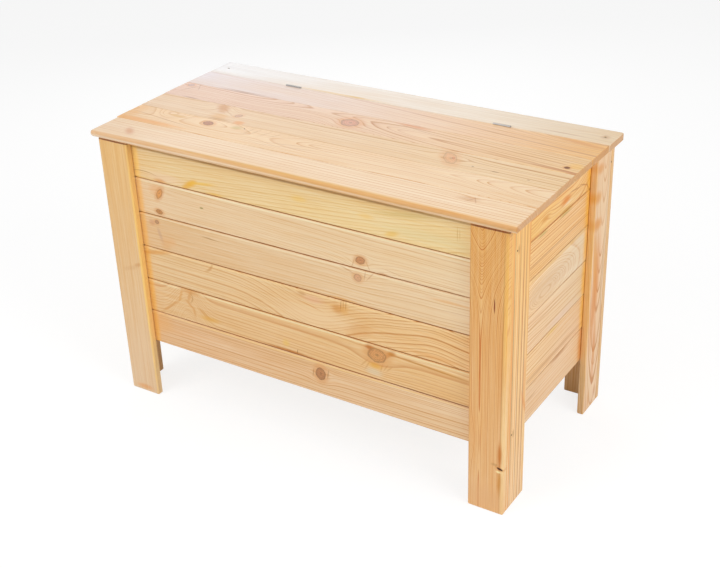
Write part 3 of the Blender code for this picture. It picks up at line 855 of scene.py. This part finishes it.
        stains_and_light=(*side_edges(), (-65, 37, 18, 3, "B49845", 0.6), (40, 37, 24, 3, "B49845", 0.6),
                (0, -14, 170, 2, "B57035", 0.4)),
    ),
    "right_plank_4": Timber(
        "FFD396", "D8A161", "E5D6BD", ring=4.2, pith=(-15, -200), wander=3, contrast=(1.7, 0.6), seed=23,
        swirls=((-45, -15, 125, 38, 60),),
        stains_and_light=(*side_edges(), (-60, -5, 130, 26, "C9A27F", 0.35), (0, 37, 220, 5, "E6AF4A", 0.45)),
    ),
    "right_plank_3": Timber(
        "F7D0A2", "D3975A", "E7CBA2", ring=5.5, pith=(60, -60), drift=(-40, 0), contrast=(1.45, 0.4),
        seed=24,
        stains_and_light=(*side_edges(), (40, -30, 60, 8, "E7C6B1", 0.5), (0, 12, 200, 1.2, "C68442", 0.5),
                (0, -20, 200, 1.2, "C68442", 0.5)),
    ),
    "right_plank_2": Timber(
        "F7D299", "D89550", "EEC8A2", ring=5.5, pith=(90, -50), drift=(10, 0), wander=4,
        contrast=(1.6, 0.5), seed=25,
        stains_and_light=(*side_edges(), (0, -25, 150, 5, "C38242", 0.5), (0, -5, 150, 2, "C38242", 0.35),
                (0, 36, 22, 3.5, "E7BD48", 0.5)),
    ),
    "right_plank_1": Timber(
        "ECC79B", "D29154", "F1C89A", ring=6.5, pith=(-90, -60), wander=5, contrast=(0.85, 0.45), seed=26,
        stains_and_light=(*side_edges("D98929"), (40, 37, 40, 2.5, "B57138", 0.7), (-95, 10, 20, 1.2, "B57A42", 0.6)),
    ),
    # Boards of the posts that the eye meets first.
    "front_right_post_face": Timber(
        "F2C48B", "CB6C20", "EBB56B", ring=2.6, pith=(-15, -3), wander=1.6, contrast=(0.6, 1.25), seed=31,
        knots=((-203, 31, 2.6, 6.5, "53290A", 1, 16, 0.9),),
        swirls=((340, -15, 110, 400, -75), (-150, -30, 50, 13, 8)),
        stains_and_light=((-285, -5, 30, 50, "E8B580", 0.5), (160, 36, 160, 3.6, "FBC866", 0.55),
                (-160, 36, 160, 3.4, "FFE2A8", 0.6), (0, 31, 320, 0.9, "AC7321", 0.4),
                # The first mark on the next line is a painted shadow: a dark line along the post's top, under
                # the lid.
                (312, 0, 1.6, 60, "742804", 0.85, 0, 0, 0.4), (0, -37.5, 320, 1.6, "C68B44", 0.45),
                (-236, 30, 26, 4, "CF882C", 0.65), (-172, 30, 27, 4, "C87216", 0.8),
                # The second mark on the next line is a painted highlight: a pale glint on the edge of the
                # knot's check.
                (-196, 20, 3, 7, "AC7334", 0.4), (-211, 28, 2.4, 5, "FFEEB3", 0.85),
                (158, 12.5, 14, 1.2, "812404", 0.95, 0, 0, 0.35)),
    ),
    "front_right_post_side": Timber(
        "F8D7A6", "DC8C33", "F5C877", pith=(-120, -30), drift=(4, 0), wander=4, contrast=(1.8, 1.9), seed=32,
        stains_and_light=((0, 38.4, 330, 1, "944E13", 0.7, 0, 0, 0.4), (0, 22, 330, 1.3, "A14E1C", 0.8),
                (0, 10, 330, 1.1, "A14E1C", 0.75), (0, -4, 330, 1.4, "A14E1C", 0.7),
                (0, 31, 330, 2, "F9D389", 0.5), (0, 2, 330, 1.8, "F9D389", 0.5),
                (0, -26, 330, 1.4, "98601C", 0.8), (0, -32, 330, 3, "E69132", 0.6),
                (-110, 36, 44, 4, "E1892C", 0.6, -22), (-40, 28, 60, 3, "E1892C", 0.5),
                (250, 36, 60, 5, "E1892C", 0.6), (-139, -15, 8, 4, "B57D3C", 0.5),
                (262, -12.5, 8, 4, "B57D3C", 0.5)),
    ),
    "front_left_post_face": Timber(
        "EDCDA7", "D19858", "EBBE7D", pith=(60, -90), drift=(6, 0), wander=3, contrast=(0.25, 0.3), seed=33,
        stains_and_light=((25, 28, 10, 4, "CF8B49", 0.5, 70), (12, 5, 22, 5, "D6A36F", 0.35, 70),
                # The second mark on the next line is painted warm light: the post's right edge, beside the
                # planks, made brighter and golden.
                (-303, 0, 6, 20, "EAA35C", 0.6), (0, 37, 320, 3, "FFD273", 0.75),
                # The first mark on the next line is a painted shadow: a dark line along the post's top, under
                # the lid.
                (312, 0, 1.6, 60, "742804", 0.85, 0, 0, 0.4), (0, -37.5, 320, 2, "CE9D5C", 0.4)),
    ),
    "rear_right_post_side": Timber(
        "F4D1A8", "CF8B4D", "EBC89D", ring=3.8, pith=(4, -60), drift=(0, 70), wander=5, contrast=(1.6, 0.7),
        seed=34,
        stains_and_light=((-20, -12, 110, 14, "DE8926", 0.85, 3), (60, -20, 60, 9, "E39832", 0.7, -6),
                (-160, 2, 70, 7, "DC8729", 0.7), (150, -20, 12, 18, "DE8E26", 0.8, 12),
                (212, -26, 12, 16, "DE9129", 0.8, 12), (275, -20, 10, 16, "DE9138", 0.7, 12),
                # The first mark on the next line is painted warm light: the board's front edge, in the corner
                # by the side planks, made brighter and golden.
                (0, -37.5, 320, 3, "FDC960", 0.4), (120, 27, 190, 3, "CFB48E", 0.5),
                (-70, 27, 72, 1.6, "B57D3C", 0.6, -8), (50, 21, 50, 1.6, "B57D3C", 0.5),
                (-285, -12, 20, 5, "D98E38", 0.5), (-280, 22, 12, 6, "CE823F", 0.5)),
    ),
}


def timber_of(node, tones):
    """The node's own timber, or one drawn for it from the usual range."""
    if node in TIMBERS:
        return TIMBERS[node]
    draw = random.Random(node)
    low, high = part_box(node)
    # Knots keep clear of the board's ends and long edges.
    along, across = 0.42 * max(high - low) / MM, 28.0
    knots = [(draw.uniform(-along, along), draw.uniform(-across, across), size, size * draw.uniform(0.5, 0.9),
              "A8703C", draw.uniform(0.5, 0.9), draw.uniform(-30, 30))
             for size in [draw.uniform(5, 12) for _ in range(draw.choice((0, 1, 1, 2)))]]
    return Timber(*tones, ring=draw.uniform(4.0, 6.5), pith=(draw.uniform(-80, 80), -draw.uniform(25, 90)),
                  drift=(draw.uniform(-25, 25), draw.uniform(-40, 40)), knots=knots, seed=draw.uniform(0, 40))


class CHEST_OT_posts(bpy.types.Operator):
    """Plane the eight boards of the four posts, and nail them together."""

    bl_idname = "chest.posts"
    bl_label = "Posts"

    def execute(self, context):
        sizes = context.scene.chest_sizes
        # Round wire nails of dark iron, their heads punched just under the surface.
        iron = metal("nail_iron", context.scene.chest_colours.iron, 0.55, 0.7)
        radius = sizes.nail_head
        for node in sorted(frame["nodes"]):
            if "_post_" not in node:
                continue
            cutters = []
            if node.endswith("side"):
                heads = bmesh.new()
                low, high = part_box(node)
                outer, out = (low.x, -1.0) if "left" in node else (high.x, 1.0)
                for y, z in FRONT_NAILS if "front" in node else REAR_NAILS:
                    # The head lies in a hole that is a little wider and widens outwards.
                    foot, top, air = [(outer + out * depth * MM, y, z) for depth in NAIL_DEPTHS]
                    merge(heads, rod(foot, top, radius, radius * 0.9, HEAD_SIDES))
                    cutters.append(rod(foot, air, radius * 1.08, radius * 1.2, HEAD_SIDES))
                shade(heads)
                link_piece(f"{node}_nails", heads, iron, "carcass", [])
            add_board(node, "carcass", sizes.post_arris, timber_of(node, POST), cutters=cutters)
        return {"FINISHED"}


class CHEST_OT_walls(bpy.types.Operator):
    """Plane the planks of the four walls."""

    bl_idname = "chest.walls"
    bl_label = "Walls"

    def execute(self, context):
        sizes = context.scene.chest_sizes
        for node in sorted(frame["nodes"]):
            if "_plank_" in node:
                arris = sizes.long_wall_arris if node.startswith(("front", "back")) else sizes.side_wall_arris
                add_board(node, "carcass", arris, timber_of(node, WALL), joint=sizes.joint)
        return {"FINISHED"}


class CHEST_OT_inside(bpy.types.Operator):
    """Plane the bottom boards, their bearers and the lid's battens, and screw the battens to the lid."""

    bl_idname = "chest.inside"
    bl_label = "Inside"

    def execute(self, context):
        sizes = context.scene.chest_sizes
        radius = sizes.screw_head
        # Dulled plate, its shine uneven from handling.
        plate = metal("dulled_plated_steel", context.scene.chest_colours.old_screw, 0.35, 0.55)
        # The heads lie a little under the battens' faces, in countersunk holes.
        sunk, depth, hole = 0.2 * MM, 2.4 * MM, 2.8 * MM
        for node in sorted(frame["nodes"]):
            if node.startswith("bottom_"):
                add_board(node, "carcass", sizes.inside_arris, timber_of(node, BARE),
                          lacquered=False)
            if node.startswith("lid_batten"):
                low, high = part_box(node)
                heads = bmesh.new()
                cutters = []
                for row in range(1, 6):
                    board_low, board_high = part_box(f"lid_board_{row}")
                    place = Vector(((low.x + high.x) / 2, (board_low.y + board_high.y) / 2, low.z + sunk))
                    if low.y + 2 * radius < place.y < high.y - 2 * radius:
                        merge(heads, screw_head(place, (0, 0, -1), radius, depth))
                        cutters.append(rod(place + Vector((0, 0, hole)), place - Vector((0, 0, MM)),
                                           radius * 0.5, radius * 1.3))
                shade(heads)
                link_piece(f"{node}_screws", heads, plate, "lid", [])
                add_board(node, "lid", sizes.inside_arris, timber_of(node, BARE),
                          lacquered=False, cutters=cutters)
        return {"FINISHED"}


class CHEST_OT_lid(bpy.types.Operator):
    """Plane the lid's boards and the fixed board behind them, with beds for the hinges."""

    bl_idname = "chest.lid"
    bl_label = "Lid"

    def execute(self, context):
        sizes = context.scene.chest_sizes
        for row in range(1, 6):
            corners = (0.0 if row == 1 else sizes.board_corner,) * 4
            cutters = self.hinge_beds("lid") if row == 5 else []
            self.add_lid_board(f"lid_board_{row}", "lid", sizes, corners, cutters)
        corners = (sizes.board_corner, sizes.board_corner, sizes.rear_corner, sizes.rear_corner)
        self.add_lid_board("rear_top_board", "carcass", sizes, corners,
                           self.hinge_beds("fixed") + self.screw_holes())
        return {"FINISHED"}

    def add_lid_board(self, node, body, sizes, corners, cutters):
        """A board of the top, its four corners rounded in plan from the front left to the back right.

        The first board is half round along its front edge and its left end, and its other edges are eased
        twice as much.
        """
        timber = TIMBERS[node]
        low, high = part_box(node)
        left, right = low.x - timber.ends[0], high.x + timber.ends[1]
        bm = block((left, low.y, low.z), (right, high.y, high.z))
        for x, y, radius in zip((left, right) * 2, (low.y, low.y, high.y, high.y), corners):
            if radius:
                upright = [edge for edge in bm.edges
                           if runs_along(edge, 2) and lies_at(edge, 0, x) and lies_at(edge, 1, y)]
                round_off(bm, upright, radius, sizes.arris_segments)
        arris = sizes.lid_arris
        if node == "lid_board_1":
            nosed = [edge for edge in bm.edges if (lies_at(edge, 1, low.y) and not lies_at(edge, 0, right))
                     or (lies_at(edge, 0, left) and not lies_at(edge, 1, high.y))]
            round_off(bm, nosed, sizes.nosing, sizes.nosing_segments)
            arris *= 2
        bm.normal_update()
        sharp = [edge for edge in bm.edges if edge.calc_face_angle(0.0) > SHARP_ANGLE]
        round_off(bm, sharp, arris, sizes.arris_segments)
        if cutters:
            carve(bm, cutters)
        shade(bm, Vector((1.0, 0.0, 0.0)))
        link_piece(f"{node}_board", bm, pine(node, timber, low, high), body, [node])

    def hinge_beds(self, half):
        """Beds for the two hinges' leaves and knuckles, cut into one board's edge.

        Lengths: the room round a leaf, from the axis to the far face of the leaf, the reach into the air
        beside and over it, and the radius of the knuckles' bed.
        """
        room, leaf, air, knuckle = 0.3 * MM, 1.65 * MM, 10 * MM, 2.7 * MM
        way = -1.0 if half == "lid" else 1.0
        cutters = []
        for side in ("left", "right"):
            low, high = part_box(f"hinge_{side}_{half}_leaf")
            left, right = low.x - room, high.x + room
            edges = sorted((HINGE_Y + way * leaf, HINGE_Y - way * air))
            cutters.append(block((left, edges[0], low.z - room), (right, edges[1], HINGE_Z + air)))
            cutters.append(rod((left, HINGE_Y, HINGE_Z), (right, HINGE_Y, HINGE_Z), knuckle, knuckle))
        return cutters

    def screw_holes(self):
        """Countersunk holes in the fixed board: a rim, a cone and a shank that don't quite touch."""
        room, shank, apart = 0.2 * MM, 1.9 * MM, 0.0001 * MM
        cutters = []
        for side in ("left", "right"):
            low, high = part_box(f"rear_board_screw_{side}")
            radius = (high.x - low.x) / 2 + room
            middle = ((low + high) / 2).xy
            air, rim, cone, foot = [Vector((*middle, high.z + step * MM)) for step in SCREW_HOLE_STEPS]
            gap = Vector((0, 0, apart))
            cutters.append(rod(rim, air, radius, radius))
            cutters.append(rod(cone, rim + gap, shank, radius))
            cutters.append(rod(foot, cone + gap, shank, shank))
        return cutters


class CHEST_OT_metal(bpy.types.Operator):
    """Plate the hinges, and set the screws of the fixed board."""

    bl_idname = "chest.metal"
    bl_label = "Hinges and screws"

    def execute(self, context):
        # Zinc-plated steel, a little clouded by the plate's crystals and dulled by age.
        zinc = metal("zinc_plated_steel", context.scene.chest_colours.zinc, 0.30, 0.45)
        plate = bpy.data.materials["dulled_plated_steel"]
        depth, foot_radius, neck_radius = 2.2 * MM, 1.5 * MM, 1.6 * MM
        for node, obj in frame["nodes"].items():
            if not node.startswith(("hinge_", "rear_board_screw")):
                continue
            # Both screws are of one plate; the left one takes the brighter zinc as painted light, for the
            # glare at the back left of the top.
            finish = plate if node == "rear_board_screw_right" else zinc
            obj.data.materials.clear()
            obj.data.materials.append(finish)
            if node.startswith("rear_board_screw"):
                low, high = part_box(node)
                middle = (low + high) / 2
                top = Vector((middle.x, middle.y, high.z))
                bm = screw_head(top, (0, 0, 1), (high.x - low.x) / 2, depth)
                merge(bm, rod((middle.x, middle.y, low.z), top - Vector((0, 0, 2.0 * MM)), foot_radius,
                              neck_radius))
                shade(bm)
                link_piece(f"{node}_head", bm, finish, "carcass", [node])
        return {"FINISHED"}


class CHEST_OT_stage(bpy.types.Operator):
    """Lay the studio floor and set the soft lights and the camera."""

    bl_idname = "chest.stage"
    bl_label = "Stage"

    def execute(self, context):
        scene = context.scene
        scene.view_settings.view_transform = "Standard"
        bm = bmesh.new()
        bmesh.ops.create_grid(bm, x_segments=1, y_segments=1, size=FLOOR_REACH)
        bmesh.ops.translate(bm, vec=(0, 0, -FLOOR_GAP), verts=bm.verts)
        floor = add_object("studio_floor", mesh_from("studio_floor", bm))
        floor.data.materials.append(self.card(scene.chest_colours.floor))
        scene.world = self.studio()
        for name, place, size, power in LAMPS:
            lamp = bpy.data.lights.new(name, "AREA")
            lamp.shape = "RECTANGLE"
            lamp.size, lamp.size_y = size
            lamp.energy = power
            holder = add_object(name, lamp)
            holder.location = place
            aim = Vector(LAMP_AIM) - Vector(place)
            holder.rotation_euler = aim.to_track_quat("-Z", "Y").to_euler()

        camera = bpy.data.cameras.new("camera")
        camera.lens = CAMERA_LENS
        camera.sensor_width = CAMERA_SENSOR
        holder = add_object("camera", camera)
        azimuth, elevation, roll = [math.radians(v) for v in (CAMERA_AZIMUTH, CAMERA_ELEVATION, CAMERA_ROLL)]
        turn = Matrix.Rotation(azimuth, 4, "Z") @ Matrix.Rotation(math.pi / 2 - elevation, 4, "X")
        turn = turn @ Matrix.Rotation(roll, 4, "Z")
        holder.matrix_world = Matrix.Translation(CAMERA_PLACE) @ turn
        scene.camera = holder
        return {"FINISHED"}

    def card(self, colour):
        """Matt white studio card that reads as pure white, with a faint shadow under the legs."""
        material, tree = new_material("white_studio_card")
        coords = add(tree, "TexCoord")
        speck = add(tree, "TexNoise", {"Vector": coords.outputs["Object"], "Scale": 40.0})
        tone = add(tree, "MapRange", {0: speck, 3: 0.99, 4: 1.01})
        dull = add(tree, "VectorMath", {0: tuple(c * FLOOR_SHARE for c in colour), "Scale": tone},
                   operation="SCALE")
        plain = add(tree, "VectorMath", {0: tuple(colour), "Scale": tone}, operation="SCALE")
        shown = add(tree, "BsdfDiffuse", {"Color": dull})
        glow = add(tree, "Emission", {"Color": WHITE, "Strength": FLOOR_GLOW})
        seen = add(tree, "AddShader", {0: shown, 1: glow})
        lit = add(tree, "BsdfDiffuse", {"Color": plain})
        mix = add(tree, "MixShader", {0: seen_or_mirrored(tree), 1: lit, 2: seen})
        add(tree, "OutputMaterial", {0: mix})
        return material

    def studio(self):
        """A world that looks white and lights the chest more softly."""
        world = bpy.data.worlds.new("studio")
        world.use_nodes = True
        tree = world.node_tree
        tree.nodes.clear()
        level = add(tree, "MapRange", {0: seen_or_mirrored(tree), 3: WORLD_LEVEL, 4: 1.0})
        sky = add(tree, "Background", {"Color": WHITE, "Strength": level})
        add(tree, "OutputWorld", {0: sky})
        return world


class CHEST_PT_panel(bpy.types.Panel):
    """The chest's steps and sizes in the sidebar."""

    bl_label = "Storage chest"
    bl_idname = "CHEST_PT_panel"
    bl_space_type = "VIEW_3D"
    bl_region_type = "UI"
    bl_category = "Chest"

    def draw(self, context):
        for operator in STEPS:
            self.layout.operator(operator.bl_idname)
        for group in (context.scene.chest_sizes, context.scene.chest_colours):
            for name in group.bl_rna.properties.keys():
                if name not in ("rna_type", "name"):
                    self.layout.prop(group, name)


STEPS = (CHEST_OT_posts, CHEST_OT_walls, CHEST_OT_inside, CHEST_OT_lid, CHEST_OT_metal, CHEST_OT_stage)
CLASSES = (ChestSizes, ChestColours, *STEPS, CHEST_PT_panel)


def register():
    for cls in CLASSES:
        bpy.utils.register_class(cls)
    bpy.types.Scene.chest_sizes = PointerProperty(type=ChestSizes)
    bpy.types.Scene.chest_colours = PointerProperty(type=ChestColours)


def unregister():
    del bpy.types.Scene.chest_colours
    del bpy.types.Scene.chest_sizes
    for cls in reversed(CLASSES):
        bpy.utils.unregister_class(cls)


def main():
    register()
    bpy.ops.chest.posts()
    bpy.ops.chest.walls()
    bpy.ops.chest.inside()
    bpy.ops.chest.lid()
    bpy.ops.chest.metal()
    bpy.ops.chest.stage()


if __name__ == "__main__":
    main()
